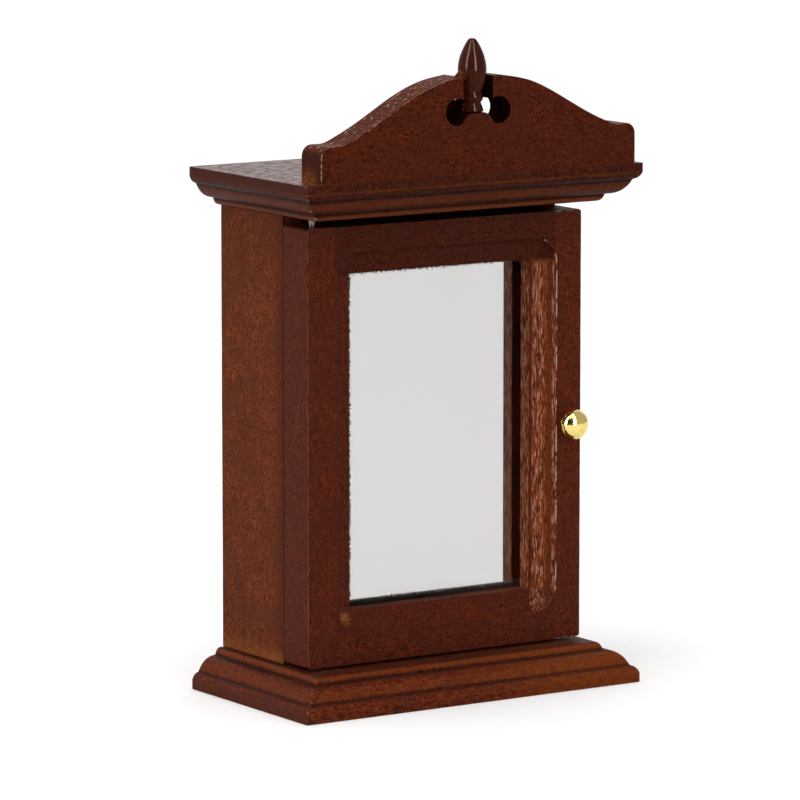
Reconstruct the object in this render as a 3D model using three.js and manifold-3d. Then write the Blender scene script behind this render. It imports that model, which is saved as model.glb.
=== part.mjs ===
// A doll's house wall cabinet with a mirror door, turned finial and carved crest.
// Millimetres. +X is the cabinet's right, +Y its back and +Z up.
// The origin is at the bottom centre of the base board.

import * as THREE from 'three';
import { mergeVertices } from 'three/addons/utils/BufferGeometryUtils.js';
import Module from 'manifold-3d';

const wasm = await Module();
wasm.setup();

// ---------------------------------------------------------------- driving dimensions

// Base and cornice: one moulded board, used the right way up and upside down.
const BOARD_WIDTH = 41.3;
const BOARD_DEPTH = 22.5;
const BOARD_THICKNESS = 4.1;
const CORNICE_TOP = 54.75;

// Carcass between the two boards.
const BODY_WIDTH = 33.72;
const SIDE_THICKNESS = 2.4;
const SIDE_FRONT_Y = -0.8;
const BACK_THICKNESS = 1.6;
const SHELF_THICKNESS = 1.6;
const SHELF_SETBACK = 1.4;

// Door: two full-height stiles with two rails between them.
const DOOR_THICKNESS = 4.66;
const DOOR_SIDE_GAP = 0.09;
const DOOR_BOTTOM_GAP = 0.3;
const DOOR_TOP_GAP = 1.05;
const STILE_FACE = 3.31;
const HINGE_STILE_WIDTH = 5.85;
const LOCK_STILE_WIDTH = 5.5;
const BOTTOM_RAIL_WIDTH = 5.4;
const TOP_RAIL_WIDTH = 5.05;
const SIGHT_CORNER_RADIUS = 0.5;

// Cove run all round the door's opening, then a plain lip, then the mirror's rebate.
const COVE_WIDTH = 2.4;
const COVE_DEPTH = 1.44;
const LIP_DEPTH = 1.71;
const REBATE_WIDTH = 1.3;
const GLASS_THICKNESS = 1.2;

// Pivot pins at the top and bottom of the hinge stile.
const PIN_RADIUS = 0.4;
const PIN_RUNNING_CLEARANCE = 0.06;
const PIN_FROM_SIDE = 2.0;
const PIN_IN_DOOR = 3.4;
const PIN_IN_BOARD = 2.0;

// Crest board on the cornice, a little off centre and lower to the left. A slot with a
// round lobe at each side leaves a mound that the finial stands on.
const CREST_X = 0.4;
const CREST_TILT = 0.012;
const CREST_HALF_WIDTH = 19.2;
const CREST_THICKNESS = 3.7;
const CREST_FRONT_Y = -11.2;
const CREST_END_HEIGHT = 3.95;
const CREST_END_RADIUS = 1.1;
const SLOT_X = 0.08;
const SLOT_HALF_WIDTH = 1.8;
const SLOT_TOP = 9.94;
const LOBE_RADIUS = 1.36;
const LOBE_OFFSET = 2.55;
const LOBE_HEIGHT = 6.42;
const LOBE_END_ANGLE = -2.0;
const MOUND_HALF_WIDTH = 0.95;
const MOUND_HEIGHT = 6.2;
const STOP_HALF_WIDTH = 1.95;
const STOP_HEIGHT = 7.3;
const STOP_THICKNESS = 0.9;

// Finial, standing on the mound between the lobes.
const FINIAL_X = 0.32;
const FINIAL_Y = -9.7;
const FINIAL_RADIUS = 1.48;
const FINIAL_HEIGHT = 7.5;
const TENON_RADIUS = 0.4;
const TENON_LENGTH = 1.5;

// Door knob.
const KNOB_X = 15.2;
const KNOB_Z = 27.2;
const KNOB_RADIUS = 1.6;
const KNOB_PROUD = 2.45;
const SHANK_RADIUS = 0.4;
const SHANK_LENGTH = 3.0;

// Fits and facets.
const GLUE_GAP = 0.03;
const CUT_MARGIN = 1.0;
const TURNED_SEGMENTS = 32;
const PIN_SEGMENTS = 24;

// ---------------------------------------------------------------- derived places

const BOARD_FRONT_Y = -BOARD_DEPTH / 2;
const BOARD_BACK_Y = BOARD_DEPTH / 2;
const CORNICE_BOTTOM = CORNICE_TOP - BOARD_THICKNESS;
const BODY_X = BODY_WIDTH / 2;
const INNER_X = BODY_X - SIDE_THICKNESS;
const BACK_FRONT_Y = BOARD_BACK_Y - BACK_THICKNESS;

const DOOR_BACK_Y = SIDE_FRONT_Y - DOOR_SIDE_GAP;
const DOOR_FRONT_Y = DOOR_BACK_Y - DOOR_THICKNESS;
const DOOR_BOTTOM = BOARD_THICKNESS + DOOR_BOTTOM_GAP;
const DOOR_TOP = CORNICE_BOTTOM - DOOR_TOP_GAP;
const RAIL_HALF_LENGTH = BODY_X - STILE_FACE;
const SIGHT_LEFT = HINGE_STILE_WIDTH - BODY_X;
const SIGHT_RIGHT = BODY_X - LOCK_STILE_WIDTH;
const SIGHT_BOTTOM = DOOR_BOTTOM + BOTTOM_RAIL_WIDTH;
const SIGHT_TOP = DOOR_TOP - TOP_RAIL_WIDTH;
const GLASS_FRONT_Y = DOOR_FRONT_Y + COVE_DEPTH + LIP_DEPTH;
const REBATE_LEFT = SIGHT_LEFT - REBATE_WIDTH;
const REBATE_RIGHT = SIGHT_RIGHT + REBATE_WIDTH;
const REBATE_BOTTOM = SIGHT_BOTTOM - REBATE_WIDTH;
const REBATE_TOP = SIGHT_TOP + REBATE_WIDTH;

const HINGE_X = PIN_FROM_SIDE - BODY_X;
const HINGE_Y = (DOOR_FRONT_Y + DOOR_BACK_Y) / 2;

// ---------------------------------------------------------------- materials

const woodMaterial = (colour) => new THREE.MeshStandardMaterial({ color: colour, roughness: 0.45, metalness: 0 });
const STAINED_WOOD = 0x4a2015;
const SIDE_WOOD = 0x5c2c17;
const INNER_WOOD = 0x54291a;
const CREST_WOOD = 0x48211a;
const brassMaterial = () => new THREE.MeshStandardMaterial({ color: 0xd9b24a, roughness: 0.2, metalness: 1 });
const steelMaterial = () => new THREE.MeshStandardMaterial({ color: 0xb9bcc0, roughness: 0.35, metalness: 1 });
const mirrorMaterial = () => new THREE.MeshStandardMaterial({ color: 0xdfe3e2, roughness: 0.03, metalness: 1 });
const cardMaterial = () => new THREE.MeshStandardMaterial({ color: 0x2b2320, roughness: 0.9, metalness: 0 });

// ---------------------------------------------------------------- solid helpers

function toSolid(geometry) {
  const bare = geometry.clone();
  bare.deleteAttribute('normal');
  bare.deleteAttribute('uv');
  const merged = mergeVertices(bare, 1e-5);
  const vertProperties = new Float32Array(merged.attributes.position.array);
  const triVerts = new Uint32Array(merged.index.array);
  return new wasm.Manifold(new wasm.Mesh({ numProp: 3, vertProperties, triVerts }));
}

function toGeometry(solid) {
  const mesh = solid.getMesh();
  const geometry = new THREE.BufferGeometry();
  geometry.setAttribute('position', new THREE.BufferAttribute(mesh.vertProperties, 3));
  geometry.setIndex(new THREE.BufferAttribute(mesh.triVerts, 1));
  geometry.computeVertexNormals();
  return geometry;
}

function joined(first, ...others) {
  return toGeometry(others.reduce((solid, other) => solid.add(toSolid(other)), toSolid(first)));
}

function cut(first, ...cutters) {
  return toGeometry(cutters.reduce((solid, cutter) => solid.subtract(toSolid(cutter)), toSolid(first)));
}

function common(first, second) {
  return toGeometry(toSolid(first).intersect(toSolid(second)));
}

function block([x0, x1], [y0, y1], [z0, z1]) {
  const geometry = new THREE.BoxGeometry(x1 - x0, y1 - y0, z1 - z0);
  return geometry.translate((x0 + x1) / 2, (y0 + y1) / 2, (z0 + z1) / 2);
}

// A shape drawn in (x, z), extruded along Y from y0 to y1.
function extrudedAlongY(shape, y0, y1, curveSegments = 12) {
  const geometry = new THREE.ExtrudeGeometry(shape, { depth: y1 - y0, bevelEnabled: false, curveSegments });
  return geometry.rotateX(Math.PI / 2).translate(0, y1, 0);
}

// A shape drawn in (y, z), extruded along X from x0 to x1.
function extrudedAlongX(shape, x0, x1) {
  const geometry = new THREE.ExtrudeGeometry(shape, { depth: x1 - x0, bevelEnabled: false });
  const toYZ = new THREE.Matrix4().makeBasis(
    new THREE.Vector3(0, 1, 0),
    new THREE.Vector3(0, 0, 1),
    new THREE.Vector3(1, 0, 0),
  );
  return geometry.applyMatrix4(toYZ).translate(x0, 0, 0);
}

function uprightRod(radius, x, y, z0, z1) {
  const geometry = new THREE.CylinderGeometry(radius, radius, z1 - z0, PIN_SEGMENTS);
  return geometry.rotateX(Math.PI / 2).translate(x, y, (z0 + z1) / 2);
}

function turned(profile) {
  return new THREE.LatheGeometry(profile, TURNED_SEGMENTS);
}

// ---------------------------------------------------------------- moulded boards

// Edge moulding as (inset from the board's edge, height): a plain foot, a small round,
// a quirk, an ovolo, a narrow ledge and a last small round at the top.
function mouldingPoints() {
  const path = new THREE.Path();
  path.moveTo(0, 0);
  path.lineTo(0, 0.9);
  path.bezierCurveTo(0.05, 1.3, 0.35, 1.66, 0.66, 1.72);
  path.lineTo(0.81, 1.89);
  path.quadraticCurveTo(1.35, 3.1, 2.38, 3.29);
  path.lineTo(2.83, 3.4);
  path.quadraticCurveTo(2.95, 4.02, 3.38, BOARD_THICKNESS);
  return path.getPoints(6);
}

// Where two mouldings meet, the front and side sections cross, which gives true mitres.
function mouldedBoard(bottom, upsideDown) {
  const heightOf = (z) => bottom + (upsideDown ? BOARD_THICKNESS - z : z);
  const edge = mouldingPoints();
  const half = BOARD_WIDTH / 2;
  const backCorners = [
    new THREE.Vector2(BOARD_BACK_Y, heightOf(BOARD_THICKNESS)),
    new THREE.Vector2(BOARD_BACK_Y, heightOf(0)),
  ];
  const frontSection = edge.map((p) => new THREE.Vector2(BOARD_FRONT_Y + p.x, heightOf(p.y)));
  const leftSection = edge.map((p) => new THREE.Vector2(p.x - half, heightOf(p.y)));
  const rightSection = edge.map((p) => new THREE.Vector2(half - p.x, heightOf(p.y))).reverse();
  const acrossX = extrudedAlongX(new THREE.Shape([...frontSection, ...backCorners]), -half, half);
  const acrossY = extrudedAlongY(new THREE.Shape([...leftSection, ...rightSection]), BOARD_FRONT_Y, BOARD_BACK_Y);
  return common(acrossX, acrossY);
}

function plinthBoard() {
  const pinHole = uprightRod(
    PIN_RADIUS + GLUE_GAP,
    HINGE_X,
    HINGE_Y,
    BOARD_THICKNESS - PIN_IN_BOARD - GLUE_GAP,
    BOARD_THICKNESS + CUT_MARGIN,
  );
  return cut(mouldedBoard(0, false), pinHole);
}

function corniceBoard() {
  const pinHole = uprightRod(
    PIN_RADIUS + GLUE_GAP,
    HINGE_X,
    HINGE_Y,
    CORNICE_BOTTOM - CUT_MARGIN,
    CORNICE_BOTTOM + PIN_IN_BOARD + GLUE_GAP,
  );
  return cut(mouldedBoard(CORNICE_BOTTOM, true), pinHole);
}

// ---------------------------------------------------------------- carcass

const carcassHeight = [BOARD_THICKNESS + GLUE_GAP, CORNICE_BOTTOM - GLUE_GAP];

function sidePanel(hand) {
  const across = hand < 0 ? [-BODY_X, -INNER_X] : [INNER_X, BODY_X];
  return block(across, [SIDE_FRONT_Y, BOARD_BACK_Y], carcassHeight);
}

function backPanel() {
  const across = [GLUE_GAP - INNER_X, INNER_X - GLUE_GAP];
  return block(across, [BACK_FRONT_Y, BOARD_BACK_Y], carcassHeight);
}

function shelf() {
  const across = [GLUE_GAP - INNER_X, INNER_X - GLUE_GAP];
  const deep = [SIDE_FRONT_Y + SHELF_SETBACK, BACK_FRONT_Y - GLUE_GAP];
  return block(across, deep, [0, SHELF_THICKNESS]);
}

const SHELF_COUNT = 2;
const compartmentHeight =
  (CORNICE_BOTTOM - BOARD_THICKNESS - SHELF_COUNT * SHELF_THICKNESS) / (SHELF_COUNT + 1);

function shelfBottom(index) {
  return BOARD_THICKNESS + (index + 1) * compartmentHeight + index * SHELF_THICKNESS;
}

// ---------------------------------------------------------------- door

// The opening's outline in (x, z), with slightly rounded corners.
function sightShape() {
  const r = SIGHT_CORNER_RADIUS;
  const shape = new THREE.Shape();
  shape.moveTo(SIGHT_LEFT + r, SIGHT_BOTTOM);
  shape.lineTo(SIGHT_RIGHT - r, SIGHT_BOTTOM);
  shape.absarc(SIGHT_RIGHT - r, SIGHT_BOTTOM + r, r, -Math.PI / 2, 0);
  shape.lineTo(SIGHT_RIGHT, SIGHT_TOP - r);
  shape.absarc(SIGHT_RIGHT - r, SIGHT_TOP - r, r, 0, Math.PI / 2);
  shape.lineTo(SIGHT_LEFT + r, SIGHT_TOP);
  shape.absarc(SIGHT_LEFT + r, SIGHT_TOP - r, r, Math.PI / 2, Math.PI);
  shape.lineTo(SIGHT_LEFT, SIGHT_BOTTOM + r);
  shape.absarc(SIGHT_LEFT + r, SIGHT_BOTTOM + r, r, Math.PI, 1.5 * Math.PI);
  return shape;
}

// The cove widens the opening towards the front in a quarter ellipse, steepest at the face.
function coveCutter() {
  const geometry = new THREE.ExtrudeGeometry(sightShape(), {
    depth: CUT_MARGIN,
    bevelEnabled: true,
    bevelThickness: COVE_DEPTH,
    bevelSize: COVE_WIDTH,
    bevelSegments: 8,
    curveSegments: 6,
  });
  return geometry.rotateX(Math.PI / 2).translate(0, DOOR_FRONT_Y, 0);
}

function openingCutters() {
  const through = extrudedAlongY(sightShape(), DOOR_FRONT_Y - CUT_MARGIN, DOOR_BACK_Y + CUT_MARGIN, 6);
  const rebate = block(
    [REBATE_LEFT, REBATE_RIGHT],
    [GLASS_FRONT_Y, DOOR_BACK_Y + CUT_MARGIN],
    [REBATE_BOTTOM, REBATE_TOP],
  );
  return [coveCutter(), through, rebate];
}

// Plan of the hinge stile's full-height strip in (x, y): its back outer corner is a
// quarter circle, so that it turns past the side panel.
function hingeStripPlan() {
  const radius = PIN_FROM_SIDE;
  const shape = new THREE.Shape();
  shape.moveTo(-BODY_X, DOOR_FRONT_Y);
  shape.lineTo(-RAIL_HALF_LENGTH, DOOR_FRONT_Y);
  shape.lineTo(-RAIL_HALF_LENGTH, DOOR_BACK_Y);
  shape.absarc(-BODY_X + radius, DOOR_BACK_Y - radius, radius, Math.PI / 2, Math.PI);
  return shape;
}

// The stile's inner part, which carries the cove and stops at the two rails.
function stileInner(hand) {
  const overlap = 0.5;
  const outer = RAIL_HALF_LENGTH + overlap;
  const across = hand < 0 ? [-outer, SIGHT_LEFT] : [SIGHT_RIGHT, outer];
  return block(across, [DOOR_FRONT_Y, DOOR_BACK_Y], [SIGHT_BOTTOM, SIGHT_TOP]);
}

function hingeStile() {
  const strip = new THREE.ExtrudeGeometry(hingeStripPlan(), {
    depth: DOOR_TOP - DOOR_BOTTOM,
    bevelEnabled: false,
    curveSegments: 10,
  });
  strip.translate(0, 0, DOOR_BOTTOM);
  const holeRadius = PIN_RADIUS + PIN_RUNNING_CLEARANCE;
  const endPlay = 0.2;
  const lowHole = uprightRod(
    holeRadius,
    HINGE_X,
    HINGE_Y,
    DOOR_BOTTOM - CUT_MARGIN,
    DOOR_BOTTOM + PIN_IN_DOOR + endPlay,
  );
  const highHole = uprightRod(
    holeRadius,
    HINGE_X,
    HINGE_Y,
    DOOR_TOP - PIN_IN_DOOR - endPlay,
    DOOR_TOP + CUT_MARGIN,
  );
  return cut(joined(strip, stileInner(-1)), ...openingCutters(), lowHole, highHole);
}

function lockStile() {
  const strip = block([RAIL_HALF_LENGTH, BODY_X], [DOOR_FRONT_Y, DOOR_BACK_Y], [DOOR_BOTTOM, DOOR_TOP]);
  const knobHole = new THREE.CylinderGeometry(
    SHANK_RADIUS + GLUE_GAP,
    SHANK_RADIUS + GLUE_GAP,
    SHANK_LENGTH + GLUE_GAP + CUT_MARGIN,
    PIN_SEGMENTS,
  );
  knobHole.translate(KNOB_X, DOOR_FRONT_Y + (SHANK_LENGTH + GLUE_GAP - CUT_MARGIN) / 2, KNOB_Z);
  return cut(joined(strip, stileInner(1)), ...openingCutters(), knobHole);
}

function doorRail(heights) {
  const half = RAIL_HALF_LENGTH - GLUE_GAP;
  return cut(block([-half, half], [DOOR_FRONT_Y, DOOR_BACK_Y], heights), ...openingCutters());
}

function rebatePlate(y0, y1) {
  return block(
    [REBATE_LEFT + GLUE_GAP, REBATE_RIGHT - GLUE_GAP],
    [y0, y1],
    [REBATE_BOTTOM + GLUE_GAP, REBATE_TOP - GLUE_GAP],
  );
}

function pivotPin(z0, z1) {
  return uprightRod(PIN_RADIUS, HINGE_X, HINGE_Y, z0, z1);
}

// Knob profile as (radius, height above the door): shank, flange, neck, rim and dome.
function knobProfile() {
  const path = new THREE.Path();
  const rimHeight = 1.4;
  const domeHeight = KNOB_PROUD - rimHeight;
  path.moveTo(0, -SHANK_LENGTH);
  path.lineTo(SHANK_RADIUS, -SHANK_LENGTH);
  path.lineTo(SHANK_RADIUS, GLUE_GAP);
  path.lineTo(0.95, GLUE_GAP);
  path.lineTo(0.95, 0.3);
  path.quadraticCurveTo(0.62, 0.4, 0.6, 0.7);
  path.bezierCurveTo(0.7, 0.95, 1.55, 0.9, KNOB_RADIUS, rimHeight);
  path.bezierCurveTo(
    KNOB_RADIUS,
    rimHeight + 0.6 * domeHeight,
    0.6 * KNOB_RADIUS,
    KNOB_PROUD,
    0,
    KNOB_PROUD,
  );
  return path.getPoints(7);
}

function doorKnob() {
  return turned(knobProfile()).rotateX(Math.PI);
}

// ---------------------------------------------------------------- crest and finial

// The crest's end and top edge as (distance from its middle, height), from the foot inwards.
function crestHalfEdge() {
  const shoulder = CREST_HALF_WIDTH - CREST_END_RADIUS;
  const endMiddle = CREST_END_HEIGHT - CREST_END_RADIUS;
  const end = new THREE.EllipseCurve(shoulder, endMiddle, CREST_END_RADIUS, CREST_END_RADIUS, 0, Math.PI / 2);
  const top = new THREE.SplineCurve([
    new THREE.Vector2(shoulder, CREST_END_HEIGHT),
    new THREE.Vector2(16.7, 3.97),
    new THREE.Vector2(15.3, 4.5),
    new THREE.Vector2(13.2, 5.5),
    new THREE.Vector2(11.2, 6.6),
    new THREE.Vector2(8.7, 8.0),
    new THREE.Vector2(6.5, 9.0),
    new THREE.Vector2(4.4, 9.6),
    new THREE.Vector2(2.2, 9.92),
  ]);
  return [...end.getPoints(6), ...top.getPoints(32).slice(1)];
}

// The slot's side, its round lobe and the mound's flank as (distance from the slot's middle, height).
function slotHalfEdge() {
  const slotSide = SLOT_HALF_WIDTH - LOBE_OFFSET;
  const start = Math.atan2(Math.sqrt(LOBE_RADIUS ** 2 - slotSide ** 2), slotSide);
  const lobe = new THREE.EllipseCurve(
    LOBE_OFFSET,
    LOBE_HEIGHT,
    LOBE_RADIUS,
    LOBE_RADIUS,
    start,
    LOBE_END_ANGLE,
    true,
  );
  return [
    new THREE.Vector2(SLOT_HALF_WIDTH, SLOT_TOP),
    ...lobe.getPoints(22),
    new THREE.Vector2(MOUND_HALF_WIDTH, MOUND_HEIGHT),
  ];
}

function crestSide(hand) {
  const outer = crestHalfEdge().map(
    (p) => new THREE.Vector2(CREST_X + hand * p.x, p.y + hand * CREST_TILT * p.x),
  );
  const inner = slotHalfEdge().map((p) => new THREE.Vector2(SLOT_X + hand * p.x, p.y));
  const foot = new THREE.Vector2(CREST_X + hand * CREST_HALF_WIDTH, 0);
  return [foot, ...outer, ...inner];
}

// The board keeps a low stop behind the finial, across the back of the slot.
function crestBoard() {
  const outline = new THREE.Shape([...crestSide(1), ...crestSide(-1).reverse()]);
  const crestBackY = CREST_FRONT_Y + CREST_THICKNESS;
  const board = extrudedAlongY(outline, CREST_FRONT_Y, crestBackY);
  const stop = block(
    [SLOT_X - STOP_HALF_WIDTH, SLOT_X + STOP_HALF_WIDTH],
    [crestBackY - STOP_THICKNESS, crestBackY],
    [MOUND_HEIGHT - CUT_MARGIN, STOP_HEIGHT],
  );
  const tenonHole = uprightRod(
    TENON_RADIUS + GLUE_GAP,
    FINIAL_X,
    FINIAL_Y,
    MOUND_HEIGHT - TENON_LENGTH - GLUE_GAP,
    MOUND_HEIGHT + CUT_MARGIN,
  );
  return cut(joined(board, stop), tenonHole);
}

// Finial profile as (radius, height above the mound): tenon, flared foot, neck, bead and bud.
function finialProfile() {
  const path = new THREE.Path();
  path.moveTo(0, -TENON_LENGTH);
  path.lineTo(TENON_RADIUS, -TENON_LENGTH);
  path.lineTo(TENON_RADIUS, GLUE_GAP);
  path.lineTo(1.16, GLUE_GAP);
  path.quadraticCurveTo(1.08, 0.55, 0.92, 0.85);
  path.lineTo(0.92, 1.05);
  path.quadraticCurveTo(1.28, 1.5, 0.98, 2.05);
  path.bezierCurveTo(1.1, 2.5, FINIAL_RADIUS, 3.0, FINIAL_RADIUS, 4.15);
  path.bezierCurveTo(FINIAL_RADIUS, 5.3, 1.1, 6.3, 0.5, FINIAL_HEIGHT - 0.26);
  path.quadraticCurveTo(0.34, FINIAL_HEIGHT, 0, FINIAL_HEIGHT);
  return path.getPoints(5);
}

function finial() {
  return turned(finialProfile()).rotateX(Math.PI / 2);
}

// ---------------------------------------------------------------- assembly

function named(name, geometry, material, position = [0, 0, 0]) {
  const mesh = new THREE.Mesh(geometry, material);
  mesh.name = name;
  mesh.position.set(...position);
  return mesh;
}

const pinTopEnd = CORNICE_BOTTOM + PIN_IN_BOARD;
const pinBottomEnd = BOARD_THICKNESS - PIN_IN_BOARD;
const backingFront = GLASS_FRONT_Y + GLASS_THICKNESS + 2 * GLUE_GAP;

const cabinet = new THREE.Group();
cabinet.add(
  named('plinth_board', plinthBoard(), woodMaterial(STAINED_WOOD)),
  named('cornice_board', corniceBoard(), woodMaterial(STAINED_WOOD)),
  named('left_side', sidePanel(-1), woodMaterial(SIDE_WOOD)),
  named('right_side', sidePanel(1), woodMaterial(SIDE_WOOD)),
  named('back_panel', backPanel(), woodMaterial(INNER_WOOD)),
  named('lower_shelf', shelf(), woodMaterial(INNER_WOOD), [0, 0, shelfBottom(0)]),
  named('upper_shelf', shelf(), woodMaterial(INNER_WOOD), [0, 0, shelfBottom(1)]),
  named('crest_board', crestBoard(), woodMaterial(CREST_WOOD), [0, 0, CORNICE_TOP + GLUE_GAP]),
  named('finial', finial(), woodMaterial(CREST_WOOD), [FINIAL_X, FINIAL_Y, CORNICE_TOP + GLUE_GAP + MOUND_HEIGHT]),
  named('lower_pivot_pin', pivotPin(pinBottomEnd, DOOR_BOTTOM + PIN_IN_DOOR), steelMaterial()),
  named('upper_pivot_pin', pivotPin(DOOR_TOP - PIN_IN_DOOR, pinTopEnd), steelMaterial()),
);

const doorPieces = new THREE.Group();
doorPieces.position.set(-HINGE_X, -HINGE_Y, 0);
doorPieces.add(
  named('hinge_stile', hingeStile(), woodMaterial(STAINED_WOOD)),
  named('lock_stile', lockStile(), woodMaterial(STAINED_WOOD)),
  named('door_top_rail', doorRail([SIGHT_TOP + GLUE_GAP, DOOR_TOP]), woodMaterial(STAINED_WOOD)),
  named('door_bottom_rail', doorRail([DOOR_BOTTOM, SIGHT_BOTTOM - GLUE_GAP]), woodMaterial(STAINED_WOOD)),
  named('mirror_glass', rebatePlate(GLASS_FRONT_Y + GLUE_GAP, backingFront - GLUE_GAP), mirrorMaterial()),
  named('mirror_backing', rebatePlate(backingFront, DOOR_BACK_Y), cardMaterial()),
  named('door_knob', doorKnob(), brassMaterial(), [KNOB_X, DOOR_FRONT_Y, KNOB_Z]),
);

// Turning this group about its own Z axis opens the door.
const door = new THREE.Group();
door.position.set(HINGE_X, HINGE_Y, 0);
door.add(doorPieces);

const wallCabinet = new THREE.Group();
wallCabinet.add(cabinet, door);

export default wallCabinet;
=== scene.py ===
"""A doll's house cabinet with a mirror door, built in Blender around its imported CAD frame."""

import math

import bmesh
import bpy
from mathutils import Matrix, Vector, noise


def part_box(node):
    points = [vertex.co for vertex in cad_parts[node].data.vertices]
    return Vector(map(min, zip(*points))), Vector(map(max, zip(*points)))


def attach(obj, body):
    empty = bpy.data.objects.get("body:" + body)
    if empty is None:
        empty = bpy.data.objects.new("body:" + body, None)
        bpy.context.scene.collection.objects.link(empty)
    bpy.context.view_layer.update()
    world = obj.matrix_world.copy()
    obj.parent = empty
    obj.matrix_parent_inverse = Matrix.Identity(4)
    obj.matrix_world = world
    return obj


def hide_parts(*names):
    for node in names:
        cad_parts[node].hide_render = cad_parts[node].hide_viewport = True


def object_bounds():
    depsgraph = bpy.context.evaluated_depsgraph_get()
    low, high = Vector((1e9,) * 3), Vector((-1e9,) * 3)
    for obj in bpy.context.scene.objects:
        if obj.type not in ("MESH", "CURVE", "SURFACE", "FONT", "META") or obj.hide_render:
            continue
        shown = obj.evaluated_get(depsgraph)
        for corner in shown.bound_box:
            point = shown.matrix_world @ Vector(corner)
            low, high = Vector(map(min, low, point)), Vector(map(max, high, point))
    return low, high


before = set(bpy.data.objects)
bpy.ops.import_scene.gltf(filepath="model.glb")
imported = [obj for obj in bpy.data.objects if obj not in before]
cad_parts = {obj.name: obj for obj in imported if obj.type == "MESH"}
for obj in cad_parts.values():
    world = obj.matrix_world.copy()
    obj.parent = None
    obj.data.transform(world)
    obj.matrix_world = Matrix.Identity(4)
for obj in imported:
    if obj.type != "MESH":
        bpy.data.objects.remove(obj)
cad_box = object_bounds()

# Blender seeds this noise from the clock, which would give every run slightly different shapes.
noise.seed_set(1)

MM = 0.001

# ---------------------------------------------------------------- sizes, in millimetres

# Edge moulding, as in the CAD: (inset from the board's edge, height above the foot).
FOOT_HEIGHT = 0.9
ROUND_END = (0.66, 1.72)
QUIRK_END = (0.81, 1.89)
OVOLO_MIDDLE = (1.35, 3.1)
OVOLO_END = (2.38, 3.29)
LEDGE_END = (2.83, 3.4)
TOP_ROUND_MIDDLE = (2.95, 4.02)
TOP_INSET = 3.38

# Door.
SIGHT_RADIUS = 0.5
COVE_WIDTH = 2.4
COVE_DEPTH = 1.44
LIP_DEPTH = 1.71
REBATE_WIDTH = 1.3
REBATE_RADIUS = 0.1
HINGE_STILE_ROUND = 2.0
DOOR_CORNER_RADIUS = 0.3

# Mirror silver: its thickness, its gap behind the glass, its inset from the glass's edge, and how
# far inside the sight line its dark edge lies: worn silver, and painted shade of the rebate.
SILVER_THICKNESS = 0.02
SILVER_GAP = 0.004
SILVER_EDGE = 0.25
SILVER_WORN_AND_SHADE_LEFT = 1.7
SILVER_WORN_AND_SHADE_FOOT = 0.44
SILVER_WORN_AND_SHADE_TOP = 0.4

# Crest: its end and top edge as (distance from its middle, height), then the slot and lobes.
CREST_X = 0.4
CREST_TILT = 0.012
CREST_END_RADIUS = 1.1
CREST_END_HEIGHT = 3.95
CREST_TOP = [
    (16.7, 3.97),
    (15.3, 4.5),
    (13.2, 5.5),
    (11.2, 6.6),
    (8.7, 8.0),
    (6.5, 9.0),
    (4.4, 9.6),
    (2.2, 9.92),
]
SLOT_X = 0.08
SLOT_HALF_WIDTH = 1.8
SLOT_TOP = 9.94
LOBE_RADIUS = 1.36
LOBE_OFFSET = 2.55
LOBE_HEIGHT = 6.42
LOBE_END_ANGLE = -2.0
MOUND_HALF_WIDTH = 0.95
MOUND_HEIGHT = 6.2
STOP_HALF_WIDTH = 1.95
STOP_HEIGHT = 7.3
STOP_THICKNESS = 0.9

# Gap left at every glued joint.
GLUE_GAP = 0.03

# How soft the hand-sanded edges are, and how far sanding wanders from true.
ARRIS = 0.11
WANDER = 0.02

# How far a cutter runs past the faces that it cuts through.
OVERCUT = 1


# ---------------------------------------------------------------- curves and rings


def bezier(points, steps):
    """Points along a quadratic or cubic Bezier curve, its first point left out."""
    curve = []
    for i in range(1, steps + 1):
        t = i / steps
        level = [Vector(p) for p in points]
        while len(level) > 1:
            level = [a.lerp(b, t) for a, b in zip(level, level[1:])]
        curve.append(level[0])
    return curve


def spline(points, steps):
    """A Catmull-Rom curve through the points, steps pieces between each two."""
    pts = [Vector(p) for p in points]
    ends = [2 * pts[0] - pts[1], *pts, 2 * pts[-1] - pts[-2]]
    curve = [pts[0]]
    for a, b, c, d in zip(ends, ends[1:], ends[2:], ends[3:]):
        for i in range(1, steps + 1):
            t = i / steps
            bend = (2 * a - 5 * b + 4 * c - d) * t * t + (3 * b - a - 3 * c + d) * t**3
            curve.append(0.5 * (2 * b + (c - a) * t + bend))
    return curve


def arc(centre, radius, start, end, steps):
    """Points on a circular arc, from start to end in radians."""
    angles = [start + (end - start) * i / steps for i in range(steps + 1)]
    return [Vector((centre[0] + radius * math.cos(a), centre[1] + radius * math.sin(a))) for a in angles]


def rounded_ring(low, high, radius, sides=(1, 1), arc_steps=3):
    """A closed ring round a rectangle with rounded corners, each side cut into pieces."""
    centres = [
        (high[0] - radius, low[1] + radius),
        (high[0] - radius, high[1] - radius),
        (low[0] + radius, high[1] - radius),
        (low[0] + radius, low[1] + radius),
    ]
    corners = [
        arc(centre, radius, (i - 1) * math.pi / 2, i * math.pi / 2, arc_steps)
        for i, centre in enumerate(centres)
    ]
    ring = []
    for i, corner in enumerate(corners):
        following = corners[(i + 1) % 4][0]
        pieces = sides[(i + 1) % 2]
        ring += corner
        ring += [corner[-1].lerp(following, j / pieces) for j in range(1, pieces)]
    return ring


# ---------------------------------------------------------------- meshes


def loft(mesh, rings):
    """Joins rings of equal length into a closed skin and caps both ends."""
    loops = [[mesh.verts.new(p) for p in ring] for ring in rings]
    count = len(loops[0])
    for lower, upper in zip(loops, loops[1:]):
        for i in range(count):
            j = (i + 1) % count
            mesh.faces.new((lower[i], lower[j], upper[j], upper[i]))
    mesh.faces.new(list(reversed(loops[0])))
    mesh.faces.new(loops[-1])


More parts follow.
